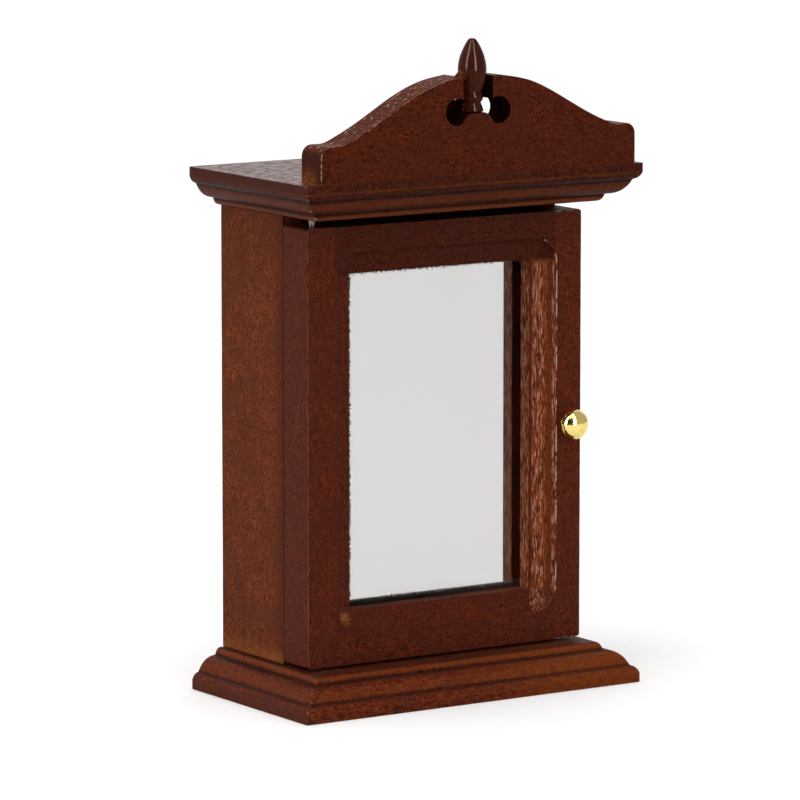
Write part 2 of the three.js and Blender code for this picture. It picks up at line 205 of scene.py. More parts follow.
def wander(mesh, amount, seed, scale=0.35):
    """Moves every vertex a little, smoothly, as hand sanding does."""
    shift = Vector((seed * 7.3, seed * 3.1, seed * 5.7))
    for vert in mesh.verts:
        vert.co += amount * noise.noise_vector(vert.co * scale + shift)


def rounded_block(low, high, radius=ARRIS, pieces=(12, 8, 12)):
    """A block with every edge rounded and its faces cut up, ready for wander."""
    mesh = bmesh.new()
    quarter = [i * math.pi / 6 for i in range(4)]
    edge = [(radius * (1 - math.sin(a)), radius * (1 - math.cos(a))) for a in quarter]
    span = high.z - low.z - 2 * radius
    heights = [(low.z + rise, inset) for rise, inset in reversed(edge)]
    heights += [(low.z + radius + span * i / pieces[2], 0.0) for i in range(1, pieces[2])]
    heights += [(high.z - rise, inset) for rise, inset in edge]
    rings = []
    for z, inset in heights:
        corner = max(radius - inset, 0.02)
        near = (low.x + inset, low.y + inset)
        far = (high.x - inset, high.y - inset)
        ring = rounded_ring(near, far, corner, (pieces[0], pieces[1]))
        rings.append([(p.x, p.y, z) for p in ring])
    loft(mesh, rings)
    return mesh


def prism(outline, low, high):
    """An outline in (x, z), extruded along Y."""
    mesh = bmesh.new()
    loft(mesh, [[(p[0], y, p[1]) for p in outline] for y in (high, low)])
    bmesh.ops.recalc_face_normals(mesh, faces=mesh.faces)
    return mesh


def lathe(profile, steps=64):
    """A profile of (radius, height) turned about Z, closed at both ends."""
    mesh = bmesh.new()
    rings = []
    for radius, height in profile:
        angles = [2 * math.pi * i / steps for i in range(steps)]
        rings.append([(radius * math.cos(a), radius * math.sin(a), height) for a in angles])
    loft(mesh, rings)
    return mesh


def is_sharp(edge, degrees=28):
    return len(edge.link_faces) == 2 and edge.calc_face_angle(0) > math.radians(degrees)


def soften(mesh, is_left, width=ARRIS):
    """Rounds all sharp edges but those left as they are, and marks the new faces as arrises."""
    flat = math.radians(0.3)
    bmesh.ops.dissolve_limit(mesh, angle_limit=flat, verts=mesh.verts, edges=mesh.edges)
    sharp = [edge for edge in mesh.edges if is_sharp(edge) and not is_left(edge)]
    made = bmesh.ops.bevel(
        mesh, geom=sharp, offset=width, segments=3, profile=0.5, affect="EDGES", clamp_overlap=True
    )
    for face in made["faces"]:
        face.material_index = 1


def mark_arrises(mesh):
    """Gives a block's rounded edges the second material, as soften does."""
    for face in mesh.faces:
        if max(abs(c) for c in face.normal) < 0.95:
            face.material_index = 1


def plain_object(name, mesh):
    """A Blender object in metres from a mesh in millimetres."""
    data = bpy.data.meshes.new(name)
    mesh.to_mesh(data)
    mesh.free()
    data.transform(Matrix.Scale(MM, 4))
    made = bpy.data.objects.new(name, data)
    bpy.context.scene.collection.objects.link(made)
    return made


def carved(mesh, cutter):
    """The mesh with the cutter's volume taken out of it."""
    solid = plain_object("carving", mesh)
    tool = plain_object("cutter", cutter)
    cut = solid.modifiers.new("cut", "BOOLEAN")
    cut.operation = "DIFFERENCE"
    cut.solver = "EXACT"
    cut.object = tool
    bpy.context.view_layer.update()
    evaluated = solid.evaluated_get(bpy.context.evaluated_depsgraph_get())
    result = bmesh.new()
    result.from_mesh(evaluated.to_mesh())
    evaluated.to_mesh_clear()
    result.transform(Matrix.Scale(1 / MM, 4))
    for made in (solid, tool):
        data = made.data
        bpy.data.objects.remove(made)
        bpy.data.meshes.remove(data)
    bmesh.ops.remove_doubles(result, verts=result.verts, dist=1e-4)
    return result


def keep_inside_box(mesh):
    """Brings back any vertex that wandered out of the whole object's CAD box."""
    low, high = (Vector(corner) / MM for corner in cad_box)
    for vert in mesh.verts:
        vert.co = [min(max(c, a), b) for c, a, b in zip(vert.co, low, high)]


def piece(name, mesh, body, node, slot, *materials):
    """The finished piece: named, painted, riding on its body, its CAD node hidden."""
    bmesh.ops.recalc_face_normals(mesh, faces=mesh.faces)
    keep_inside_box(mesh)
    made = plain_object(name, mesh)
    for material in materials:
        made.data.materials.append(material)
    made.data.polygons.foreach_set("use_smooth", [True] * len(made.data.polygons))
    made.data.set_sharp_from_angle(angle=math.radians(34))
    made.modifiers.new("flat_faces", "WEIGHTED_NORMAL").keep_sharp = True
    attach(made, body)
    if node:
        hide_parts(node)
    return made


def box_mm(node):
    low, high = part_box(node)
    return low / MM, high / MM


# ---------------------------------------------------------------- node helpers


class Nodes:
    """A node tree, with short calls to add and link nodes."""

    def __init__(self, tree):
        self.tree = tree

    def add(self, kind, inputs=(), **settings):
        made = self.tree.nodes.new(kind)
        for key, value in settings.items():
            setattr(made, key, value)
        for key, value in dict(inputs).items():
            if isinstance(value, bpy.types.NodeSocket):
                self.tree.links.new(value, made.inputs[key])
            else:
                made.inputs[key].default_value = value
        return made

    def span(self, value, low, high, to_low=0.0, to_high=1.0, curve="SMOOTHSTEP"):
        """The value taken from the range low..high to the range to_low..to_high, and held there."""
        inputs = {0: value, 1: low, 2: high, 3: to_low, 4: to_high}
        return self.add("ShaderNodeMapRange", inputs, interpolation_type=curve).outputs[0]

    def math(self, operation, first, second=0.0):
        return self.add("ShaderNodeMath", {0: first, 1: second}, operation=operation).outputs[0]

    def band(self, value, middle, half_width, soft=0.4):
        """1 where the value is within half_width of the middle, with soft sides."""
        gap = self.math("ABSOLUTE", self.math("SUBTRACT", value, middle))
        return self.span(gap, half_width * (1 + soft), half_width * (1 - soft))


class Shader(Nodes):
    """A material's node tree, with its surface shader."""

    def __init__(self, name):
        self.material = bpy.data.materials.new(name)
        self.material.use_nodes = True
        super().__init__(self.material.node_tree)
        self.surface = self.tree.nodes["Principled BSDF"]

    def set(self, **values):
        for key, value in values.items():
            self.surface.inputs[key.replace("_", " ")].default_value = value

    def feed(self, socket, name):
        self.tree.links.new(socket, self.surface.inputs[name])

    def place(self, scale=(1, 1, 1), shift=(0, 0, 0)):
        """Object coordinates in millimetres, stretched by scale and moved by shift."""
        coords = self.add("ShaderNodeTexCoord").outputs["Object"]
        inputs = {"Vector": coords, "Scale": tuple(s / MM for s in scale), "Location": shift}
        return self.add("ShaderNodeMapping", inputs).outputs[0]

    def axes(self):
        """The object's x, y and z in millimetres."""
        return self.add("ShaderNodeSeparateXYZ", {0: self.place()}).outputs

    def noise(self, vector, scale, detail=3.0, roughness=0.55):
        inputs = {"Vector": vector, "Scale": scale, "Detail": detail, "Roughness": roughness}
        return self.add("ShaderNodeTexNoise", inputs).outputs["Fac"]

    def mix(self, factor, first, second):
        """A colour between the first, at factor 0, and the second, at 1."""
        return self.add("ShaderNodeMix", {0: factor, 6: first, 7: second}, data_type="RGBA").outputs[2]

    def near(self, point, radius):
        """1 at a point given in millimetres, falling to 0 at radius."""
        inputs = {0: self.place(), 1: point}
        gap = self.add("ShaderNodeVectorMath", inputs, operation="DISTANCE").outputs["Value"]
        return self.span(gap, radius, 0.15 * radius)

    def bump(self, height, strength, distance):
        """Relief from a height, distance being its depth in millimetres."""
        inputs = {"Height": height, "Strength": strength, "Distance": distance * MM}
        self.feed(self.add("ShaderNodeBump", inputs).outputs[0], "Normal")


# ---------------------------------------------------------------- materials

# Linear colours: the stains, the wood where wear has gone through them, and colours that also paint
# light: the dark one painted shade, the orange, rubbed and torn ones painted highlight.
FRONT_STAIN = (0.062, 0.0096, 0.0032, 1)
SIDE_STAIN = (0.098, 0.0205, 0.0048, 1)
ORANGE_STAIN_AND_HIGHLIGHT = (0.125, 0.026, 0.0045, 1)
PURPLE_STAIN = (0.047, 0.0115, 0.0075, 1)
DARK_STAIN_AND_SHADE = (0.008, 0.003, 0.002, 1)
OLIVE_STAIN = (0.052, 0.021, 0.0045, 1)
BARE_WOOD = (0.23, 0.074, 0.014, 1)
RUBBED_AND_HIGHLIGHT = (0.46, 0.29, 0.23, 1)
TORN_AND_HIGHLIGHT = (0.36, 0.185, 0.125, 1)

# How the grain stretches a texture along each axis.
GRAIN = {"x": (0.3, 1, 1), "y": (1, 0.3, 1), "z": (1, 1, 0.3)}


def shade(colour, factor):
    """The colour, darker or lighter by a factor."""
    return (*[c * factor for c in colour[:3]], 1)


class Wood(Shader):
    """Stained wood: fine speckled fibre, blotches of stain and dark pores, then what wear and painted
    light and shade add.
    """

    def __init__(self, name, stain, grain="z", seed=0, contrast=1.35):
        super().__init__(name)
        self.along = self.place(GRAIN[grain], (seed * 3.7, seed * 5.3, seed * 2.9))
        self.even = self.place((1, 1, 1), (seed * 4.1, seed * 1.7, seed * 6.3))
        fibre = self.noise(self.along, 4.6, 3.0, 0.65)
        speckle = self.noise(self.even, 5.2, 1.5, 0.6)
        blotch = self.noise(self.even, 0.3, 3.0, 0.6)
        fibre_part = self.math("MULTIPLY", fibre, 0.45)
        self.grainy = self.math("ADD", fibre_part, self.math("MULTIPLY", speckle, 0.55))
        self.pores = self.span(self.noise(self.along, 6.0, 2.0, 0.5), 0.6, 0.72)
        dark, light = shade(stain, 1 - 0.48 * contrast), shade(stain, 1 + 0.62 * contrast)
        self.colour = self.mix(self.span(self.grainy, 0.38, 0.62), dark, light)
        self.tint(self.span(blotch, 0.4, 0.64, 0.0, 0.55), self.cast(stain, PURPLE_STAIN))
        patches = self.noise(self.even, 1.6, 2.0, 0.6)
        self.tint(self.span(patches, 0.52, 0.66, 0.0, 0.75), self.cast(stain, OLIVE_STAIN))
        self.tint(self.span(patches, 0.46, 0.32, 0.0, 0.75), self.cast(stain, PURPLE_STAIN))
        flecks = self.noise(self.even, 5.5, 1.0, 0.5)
        self.tint(self.span(flecks, 0.64, 0.74, 0.0, 0.3), shade(stain, 3.2))
        self.tint(self.math("MULTIPLY", self.pores, 0.3 * contrast), shade(stain, 0.35))

    @staticmethod
    def cast(stain, hue):
        """The stain where it has taken unevenly, drawn towards another hue."""
        return (*[0.5 * a + 0.38 * b for a, b in zip(stain[:3], hue)], 1)

    def tint(self, mask, colour):
        """Lays a colour over the wood where the mask is 1."""
        self.colour = self.mix(mask, self.colour, colour)

    def ragged(self, mask, low=0.35):
        """A mask broken up along the fibres."""
        return self.math("MULTIPLY", mask, self.span(self.grainy, 0.38, 0.6, low, 1.0))

    def wear(self, spots):
        """Bare wood at (point, radius) places."""
        for point, radius in spots:
            self.tint(self.ragged(self.near(point, radius), 0.1), BARE_WOOD)

    def rub_and_highlight(self, amount):
        """Pale broken places where a handled edge has lost its colour, which also stand in as painted
        highlight along the edge.
        """
        patches = self.noise(self.along, 3.2, 2.0, 0.6)
        self.tint(self.span(patches, 0.64 - 0.2 * amount, 0.7 - 0.2 * amount, 0.0, 0.9), RUBBED_AND_HIGHLIGHT)

    def layers(self, foot, top, bands):
        """Tints across a moulding, each (height above its foot, half width, colour, strength)."""
        height = self.span(self.axes()[2], foot, top, 0.0, abs(top - foot), "LINEAR")
        for middle, half_width, colour, strength in bands:
            mask = self.math("MULTIPLY", self.band(height, middle, half_width, 0.5), strength)
            self.tint(self.ragged(mask, 0.7), colour)

    def streaks(self, middle, half_width, amount, low, high):
        """Torn pale fibres, partly painted highlight, with orange and dark between them, in an upright
        band about x = middle, from height low to high.
        """
        x, _, z = self.axes()
        zone = self.band(x, middle, half_width, 0.6)
        zone = self.math("MULTIPLY", zone, self.span(z, high, high - 1.2))
        zone = self.math("MULTIPLY", zone, self.span(z, low - 0.6, low + 0.6, 0.5, 1.0))
        torn_highlights = self.noise(self.place((1, 1, 0.12)), 6.5, 3.0, 0.7)
        orange = self.span(torn_highlights, 0.47, 0.54, 0.0, 0.8)
        pale = self.span(torn_highlights, 0.62 - 0.12 * amount, 0.7 - 0.12 * amount, 0.0, 0.9)
        dark = self.span(torn_highlights, 0.46, 0.4, 0.0, 0.85)
        for mask, colour in ((orange, shade(ORANGE_STAIN_AND_HIGHLIGHT, 1.9)), (pale, TORN_AND_HIGHLIGHT), (dark, DARK_STAIN_AND_SHADE)):
            self.tint(self.math("MULTIPLY", zone, mask), colour)

    def mitre(self, low):
        """Rubs the front left mitre in places, where the two mouldings meet."""
        x, y, _ = self.axes()
        from_left, from_front = self.math("SUBTRACT", x, low.x), self.math("SUBTRACT", y, low.y)
        across = self.math("SUBTRACT", from_left, from_front)
        mask = self.math("MULTIPLY", self.band(across, 0.0, 0.2, 0.5), self.span(y, 0.0, -5.0))
        flecks = self.span(self.noise(self.even, 4.0, 3.0, 0.7), 0.56, 0.66, 0.0, 0.6)
        self.tint(self.math("MULTIPLY", mask, flecks), RUBBED_AND_HIGHLIGHT)

    def finish(self, roughness=0.46, specular=0.03, relief=0.03):
        """Feeds the surface and gives the material. The roughness may be a number or a socket."""
        if not isinstance(roughness, bpy.types.NodeSocket):
            roughness = self.span(self.grainy, 0.3, 0.7, roughness + 0.1, roughness - 0.08)
        self.feed(self.colour, "Base Color")
        self.feed(roughness, "Roughness")
        height = self.math("SUBTRACT", self.grainy, self.math("MULTIPLY", self.pores, 0.5))
        self.bump(height, 0.45, relief)
        self.set(Specular_IOR_Level=specular)
        return self.material


def face_wood(name, stain, grain, seed, spots=()):
    """A flat stained face, bare at the given spots."""
    s = Wood(name, stain, grain, seed)
    s.wear(spots)
    return s.finish()


def crest_face_wood(name, stain, seed, left, spots):
    """The crest's faces, darker on the end grain at its left."""
    s = Wood(name, stain, "x", seed)
    s.tint(s.span(s.axes()[0], left + 0.3, left + 0.05, 0.0, 0.4), DARK_STAIN_AND_SHADE)
    s.wear(spots)
    return s.finish(specular=0.02)


def cut_out_wood(name, stain, seed):
    """Sawn and unpolished, near black: stain that pooled, and painted shade deep in the cut-out."""
    return Wood(name, stain, "y", seed).finish(roughness=0.85, specular=0.0)


def crest_top_wood(name, stain, seed):
    """The crest's sawn top edge, rough and speckled."""
    s = Wood(name, stain, "x", seed, 1.9)
    s.tint(s.span(s.noise(s.even, 3.6, 3.0, 0.7), 0.5, 0.64, 0.0, 0.8), ORANGE_STAIN_AND_HIGHLIGHT)
    s.rub_and_highlight(0.1)
    return s.finish(specular=0.02, relief=0.05)


def arris_wood(name, stain, grain, seed, amount, spots=()):
    """A softened edge, a little lighter, as painted highlight, and glossier than its faces and rubbed by
    the amount.
    """
    s = Wood(name, shade(stain, 1.1), grain, seed)
    s.rub_and_highlight(amount)
    s.wear(spots)
    return s.finish(roughness=0.3, specular=0.07)


def side_pair(name, seed, low, high):
    """A side panel's face and its arrises: painted shade along its front edge by the door, a painted
    shadow line at its outer front corner, darker along its back edge and bare along its foot.
    """
    outer = max(abs(low.x), abs(high.x))
    pair = []
    for suffix, specular in (("", 0.02), ("_arris", 0.1)):
        s = Wood(name + suffix, SIDE_STAIN, "z", seed)
        x, y, z = s.axes()
        # Painted shade: darker towards the front edge, where the side meets the door.
        s.tint(s.ragged(s.span(y, low.y + 2.4, low.y + 0.2, 0.0, 0.75), 0.7), FRONT_STAIN)
        s.tint(s.ragged(s.span(y, high.y - 0.8, high.y, 0.0, 0.3), 0.7), FRONT_STAIN)
        s.tint(s.ragged(s.span(z, low.z + 2.0, low.z, 0.0, 0.75), 0.3), BARE_WOOD)
        # Painted shadow: a near black line along the front face's outer edge, for the gap beside the
        # door.
        at_outside = s.span(s.math("ABSOLUTE", x), outer - 0.3, outer - 0.15)
        s.tint(s.math("MULTIPLY", s.span(y, low.y + 0.12, low.y + 0.02), at_outside), DARK_STAIN_AND_SHADE)
        pair.append(s.finish(specular=specular))
    return pair


def routed_wood(name, stain, seed, spots, streaks, orange_from):
    """The routed cove and lip, torn by the cutter in places and orange right of orange_from; the torn
    bands at the right, which faces the light, are partly painted highlight.
    """
    s = Wood(name, stain, "z", seed, 1.6)
    if orange_from is not None:
        s.tint(s.ragged(s.span(s.axes()[0], orange_from, orange_from + 0.4), 0.25), ORANGE_STAIN_AND_HIGHLIGHT)
    for streak in streaks:
        s.streaks(*streak)
    s.wear(spots)
    return s.finish(roughness=0.42, relief=0.05)


def moulded_wood(name, stain, seed, node, upside_down, worn):
    """A moulded board: stain gathers in the quirks, darkened further as painted shade, and the rounds
    are orange, for wear and painted highlight.
    """
    low, high = box_mm(node)
    foot, top = (high.z, low.z) if upside_down else (low.z, high.z)
    s = Wood(name, stain, "x", seed, 1.9)
    x, _, _ = s.axes()
    if not upside_down:
        s.tint(s.ragged(s.span(x, low.x + 18, high.x - 6, 0.0, 0.95), 0.5), ORANGE_STAIN_AND_HIGHLIGHT)
    mottle = s.noise(s.place((0.6, 1, 1), (seed, 0, 0)), 2.6, 4.0, 0.75)
    s.tint(s.span(mottle, 0.5, 0.62, 0.0, worn), shade(ORANGE_STAIN_AND_HIGHLIGHT, 1.25))
    s.tint(s.span(mottle, 0.42, 0.34, 0.0, 0.6), shade(stain, 0.45))
    s.layers(foot, top, MOULDING_TINTS)
    s.tint(s.span(x, low.x + 0.22, low.x + 0.12, 0.0, 0.5), PURPLE_STAIN)
    s.mitre(low)
    return s.finish()


def board_top_wood(name, stain, seed):
    """The flat top of a moulded board, with a grey sheen and dark open grain."""
    s = Wood(name, stain, "x", seed, 1.2)
    lines = s.noise(s.place((0.3, 1, 1), (seed, 0, 0)), 2.1, 5.0, 0.7)
    open_grain = s.span(lines, 0.45, 0.6)
    s.tint(s.math("MULTIPLY", open_grain, 0.8), DARK_STAIN_AND_SHADE)
    return s.finish(s.span(open_grain, 0.0, 1.0, 0.28, 0.6), specular=0.27)


def finial_wood(name, stain, seed):
    """The finial, french polished so that it mirrors the lights."""
    s = Wood(name, stain, "z", seed, 0.9)
    return s.finish(roughness=0.13, specular=0.055, relief=0.008)


def mirror_glass_material():
    """Clear glass with a weak surface reflection, so that the silver behind it does the mirroring."""
    s = Shader("float_glass")
    s.set(Base_Color=(0.97, 0.985, 0.98, 1), Specular_Tint=(0.2, 0.2, 0.2, 1))
    s.set(Roughness=0.0, IOR=1.5, Transmission_Weight=1.0)
    return s.material


def silver_material(low, high):
    """Silvering from low to high in (x, z), lost in a ragged dark line along its edge: worn silver, and
    painted shade of the rebate round the glass.
    """
    s = Shader("mirror_silvering")
    x, _, z = s.axes()
    ragged = s.noise(s.place(), 3.4, 5.0, 0.75)
    left, right = s.math("SUBTRACT", x, low[0]), s.math("SUBTRACT", high[0], x)
    bottom, top = s.math("SUBTRACT", z, low[1]), s.math("SUBTRACT", high[1], z)
    inset = s.math("MINIMUM", s.math("MINIMUM", left, right), s.math("MINIMUM", bottom, top))
    kept = s.span(s.math("SUBTRACT", inset, s.math("MULTIPLY", ragged, 1.6)), -0.84, -0.76)
    haze = s.mix(s.noise(s.place(), 0.12, 2.0, 0.5), (0.635, 0.61, 0.605, 1), (0.665, 0.64, 0.635, 1))
    s.feed(s.mix(kept, (0.004, 0.0035, 0.003, 1), haze), "Base Color")
    s.feed(kept, "Metallic")
    s.feed(s.span(kept, 0.0, 1.0, 0.6, 0.012), "Roughness")
    s.set(Specular_IOR_Level=0.1)
    return s.material


def card_material():
    """Dull dark card."""
    s = Shader("backing_card")
    fibres = s.noise(s.place(), 1.4, 5.0, 0.7)
    dark, light = (0.02, 0.015, 0.012, 1), (0.05, 0.038, 0.03, 1)
    s.feed(s.mix(s.span(fibres, 0.3, 0.7), dark, light), "Base Color")
    s.set(Roughness=0.9, Specular_IOR_Level=0.2)
    s.bump(fibres, 0.5, 0.03)
    return s.material


def brass_material():
    """Polished brass, a little uneven and slightly tarnished."""
    s = Shader("polished_brass")
    tarnish = s.noise(s.place(), 1.1, 4.0, 0.6)
    bright, dull = (0.86, 0.71, 0.23, 1), (0.7, 0.54, 0.15, 1)
    s.feed(s.mix(s.span(tarnish, 0.35, 0.7), bright, dull), "Base Color")
    s.feed(s.span(tarnish, 0.3, 0.7, 0.07, 0.15), "Roughness")
    s.bump(s.noise(s.place(), 1.6, 2.0, 0.5), 0.2, 0.05)
    s.set(Metallic=1.0)
    return s.material


def steel_material():
    """Drawn steel wire, darkened."""
    s = Shader("steel_wire")
    drawn = s.noise(s.place(GRAIN["z"]), 6.0, 3.0, 0.6)
    s.feed(s.mix(drawn, (0.08, 0.08, 0.08, 1), (0.15, 0.143, 0.14, 1)), "Base Color")
    s.feed(s.span(drawn, 0.3, 0.7, 0.08, 0.2), "Roughness")
    s.bump(drawn, 0.3, 0.02)
    s.set(Metallic=1.0)
    return s.material


# ---------------------------------------------------------------- moulded boards

# Where a moulding is darker or lighter: painted shade, with gathered stain, in its quirks and a painted
# shadow at its edge by the door; painted highlight, with wear, on its rounds. Each is (height above its
# foot, half width, colour, strength).
MOULDING_TINTS = [
    (0.98, 0.12, ORANGE_STAIN_AND_HIGHLIGHT, 0.35),
    (1.8, 0.16, DARK_STAIN_AND_SHADE, 0.75),
    (2.45, 0.4, ORANGE_STAIN_AND_HIGHLIGHT, 0.4),
    (3.36, 0.13, DARK_STAIN_AND_SHADE, 0.9),
    (3.8, 0.17, ORANGE_STAIN_AND_HIGHLIGHT, 0.8),
    (4.1, 0.06, DARK_STAIN_AND_SHADE, 0.8),
]


def moulding():
    """The moulding from foot to top as (inset, height), with its arrises rounded."""
    profile = [Vector((0.08, 0)), Vector((0.02, 0.02)), Vector((0, 0.08)), Vector((0, FOOT_HEIGHT))]
    profile += bezier([(0, FOOT_HEIGHT), (0.05, 1.3), (0.35, 1.66), ROUND_END], 8)
    profile += bezier([ROUND_END, (0.76, 1.75), QUIRK_END], 3)
    profile += bezier([QUIRK_END, OVOLO_MIDDLE, OVOLO_END], 12)
    profile += bezier([OVOLO_END, (2.7, 3.32), LEDGE_END], 3)
    profile += bezier([LEDGE_END, TOP_ROUND_MIDDLE, (TOP_INSET, box_mm("plinth_board")[1].z)], 6)
    return profile


def moulded_board(node, upside_down, seed):
    """A board with the moulding round its front and sides and a plain back."""
    low, high = box_mm(node)
    mitre = 0.12
    rings = []
    for inset, height in moulding():
        z = high.z - height if upside_down else low.z + height
        near = (low.x + inset, low.y + inset)
        far = (high.x - inset, high.y)
        ring = rounded_ring(near, far, mitre, (60, 32))
        rings.append([(p.x, p.y, z) for p in ring])
    mesh = bmesh.new()
    loft(mesh, rings)
    bmesh.ops.recalc_face_normals(mesh, faces=mesh.faces)
    wander(mesh, WANDER, seed, 0.8)
    return mesh


# ---------------------------------------------------------------- carcass


def panel(node, pieces, seed):
    """A flat board that fills its node's box."""
    low, high = box_mm(node)
    mesh = rounded_block(low, high, ARRIS, pieces)
    bmesh.ops.recalc_face_normals(mesh, faces=mesh.faces)
    mark_arrises(mesh)
    wander(mesh, WANDER, seed)
    return mesh


# ---------------------------------------------------------------- door


def door_sizes():
    """The door's planes and its opening's sight line, from the frame."""
    stile_low, stile_high = box_mm("lock_stile")
    top_low, top_high = box_mm("door_top_rail")
    sight_low = (box_mm("hinge_stile")[1].x, box_mm("door_bottom_rail")[1].z + GLUE_GAP)
    sight_high = (stile_low.x, top_low.z - GLUE_GAP)
    return {
        "front": stile_low.y,
        "back": stile_high.y,
        "bottom": stile_low.z,
        "top": stile_high.z,
        "half": stile_high.x,
        "rail_half": top_high.x,
        "sight": (sight_low, sight_high),
    }


def opening_cutter(d):
    """The opening through the door: cove, lip and rebate in one closed skin."""
    (x0, z0), (x1, z1) = d["sight"]
    front = d["front"]
    lip_back = front + COVE_DEPTH + LIP_DEPTH
    cove = [i / 14 * math.pi / 2 for i in range(15)]
    stations = [(front - OVERCUT, COVE_WIDTH, SIGHT_RADIUS + COVE_WIDTH)]
    for a in cove:
        grow = COVE_WIDTH * math.cos(a)
        stations.append((front + COVE_DEPTH * math.sin(a), grow, SIGHT_RADIUS + grow))
    stations.append((lip_back, 0, SIGHT_RADIUS))
    stations += [(y, REBATE_WIDTH, REBATE_RADIUS) for y in (lip_back, d["back"] + OVERCUT)]
    mesh = bmesh.new()
    rings = []
    for y, grow, corner in stations:
        ring = rounded_ring((x0 - grow, z0 - grow), (x1 + grow, z1 + grow), corner, (1, 1), 10)
        rings.append([(p.x, y, p.y) for p in ring])
    loft(mesh, rings)
    bmesh.ops.recalc_face_normals(mesh, faces=mesh.faces)
    return mesh


def is_routed(face, middle, d):
    """Whether a face lies in the opening's cove or on its lip."""
    (x0, z0), (x1, z1) = d["sight"]
    reach = COVE_WIDTH + 0.01
    in_opening = x0 - reach < middle.x < x1 + reach and z0 - reach < middle.z < z1 + reach
    in_depth = d["front"] + 0.02 < middle.y < d["front"] + COVE_DEPTH + LIP_DEPTH - 0.02
    return in_opening and in_depth and abs(face.normal.y) < 0.999


def is_at_joint(edge, d):
    """Whether an edge lies where a stile meets a rail."""
    (_, z0), (_, z1) = d["sight"]
    reach = 2 * GLUE_GAP
    beside = all(abs(abs(v.co.x) - d["rail_half"]) < reach for v in edge.verts)
    inside = all(abs(v.co.x) < d["rail_half"] + reach for v in edge.verts)
    level = any(all(abs(v.co.z - z) < reach for v in edge.verts) for z in (z0, z1))
    return beside or (inside and level)


def is_plain_arris(middle, d):
    """Whether a rounded edge of the opening gets the plain face material, as all do but those at its
    right, which keep the arris material and its painted highlight.
    """
    (x0, z0), (x1, z1) = d["sight"]
    reach = COVE_WIDTH + 2 * ARRIS
    return x0 - reach < middle.x < x1 + 1 and z0 - reach < middle.z < z1 + reach


def finish_member(mesh, d, seed):
    """Cuts the opening out of a member, rounds its edges and marks the routed cove."""
    mesh = carved(mesh, opening_cutter(d))
    soften(mesh, lambda edge: is_at_joint(edge, d))
    for face in mesh.faces:
        middle = face.calc_center_median()
        if face.material_index == 0 and is_routed(face, middle, d):
            face.material_index = 2
        elif face.material_index == 1 and is_plain_arris(middle, d):
            face.material_index = 0
    wander(mesh, 0.5 * WANDER, seed)
    return mesh


def stile_outline(d, hand):
    """The stile in (x, z): full height outside, and between the rails where it carries the cove."""
    (x0, z0), (x1, z1) = d["sight"]
    inner, joint, outer = x1 if hand > 0 else -x0, d["rail_half"] + GLUE_GAP, d["half"]
    corner = DOOR_CORNER_RADIUS
    outline = [Vector(p) for p in ((inner, z0), (joint, z0), (joint, d["bottom"]))]
    outline += arc((outer - corner, d["bottom"] + corner), corner, -math.pi / 2, 0, 4)
    outline += arc((outer - corner, d["top"] - corner), corner, 0, math.pi / 2, 4)
    outline += [Vector(p) for p in ((joint, d["top"]), (joint, z1), (inner, z1))]
    return [Vector((hand * p.x, p.y)) for p in outline]


def stile(d, hand, seed):
    """A stile, the hinge side's (hand -1) rounded at its back corner to turn past the side panel."""
    mesh = prism(stile_outline(d, hand), d["front"], d["back"])
    if hand < 0:
        back_corner = [
            edge
            for edge in mesh.edges
            if all(v.co.y > d["back"] - 0.01 and v.co.x < -d["half"] + 0.01 for v in edge.verts)
        ]
        bmesh.ops.bevel(
            mesh, geom=back_corner, offset=HINGE_STILE_ROUND, segments=10, profile=0.5, affect="EDGES"
        )
    return finish_member(mesh, d, seed)


def rail(d, node, seed):
    """A rail between the stiles."""
    low, high = box_mm(node)
    outline = [(low.x, low.z), (high.x, low.z), (high.x, high.z), (low.x, high.z)]
    return finish_member(prism(outline, d["front"], d["back"]), d, seed)


def silvering(seed):
    """The mirror's silver, a thin sheet on the back of the glass."""
    glass_low, glass_high = box_mm("mirror_glass")
    edge, front = SILVER_EDGE, glass_high.y + SILVER_GAP
    low = Vector((glass_low.x + edge, front, glass_low.z + edge))
    high = Vector((glass_high.x - edge, front + SILVER_THICKNESS, glass_high.z - edge))
    mesh = rounded_block(low, high, 0.4 * SILVER_THICKNESS, (10, 1, 14))
    wander(mesh, 0.001, seed)
    return mesh


def silver_limits(d):
    """Where the silver ends in (x, z): its dark edge, worn silver and painted shade, just shows at the
    left, the foot and the top.
    """
    (x0, z0), (_, z1) = d["sight"]
    right = box_mm("mirror_glass")[1].x - SILVER_EDGE
    return (x0 + SILVER_WORN_AND_SHADE_LEFT, z0 + SILVER_WORN_AND_SHADE_FOOT), (right, z1 - SILVER_WORN_AND_SHADE_TOP)


def knob_mesh():
    """The turned knob, its shank in the stile."""
    low, high = box_mm("door_knob")
    centre_x, centre_z = (low.x + high.x) / 2, (low.z + high.z) / 2
    radius = (high.x - low.x) / 2
    face = box_mm("lock_stile")[0].y
    proud = face - low.y
    rim = 1.25
    profile = [Vector((0.02, face - high.y)), Vector((0.4, face - high.y)), Vector((0.4, 0.02))]
    profile += bezier([(0.8, 0.03), (0.97, 0.03), (0.97, 0.16)], 4)
    profile += bezier([(0.97, 0.16), (0.95, 0.34), (0.74, 0.4)], 4)
    profile += bezier([(0.74, 0.4), (0.58, 0.5), (0.6, 0.75)], 5)
    profile += bezier([(0.6, 0.75), (0.72, 0.95), (radius, 0.8), (radius, rim)], 10)
    dome = [(radius, rim), (radius, 0.5 * (rim + proud)), (0.6 * radius, proud), (0.02, proud)]
    profile += bezier(dome, 20)
    mesh = lathe(profile)
    mesh.transform(Matrix.Translation((centre_x, face, centre_z)) @ Matrix.Rotation(math.pi / 2, 4, "X"))
    return mesh


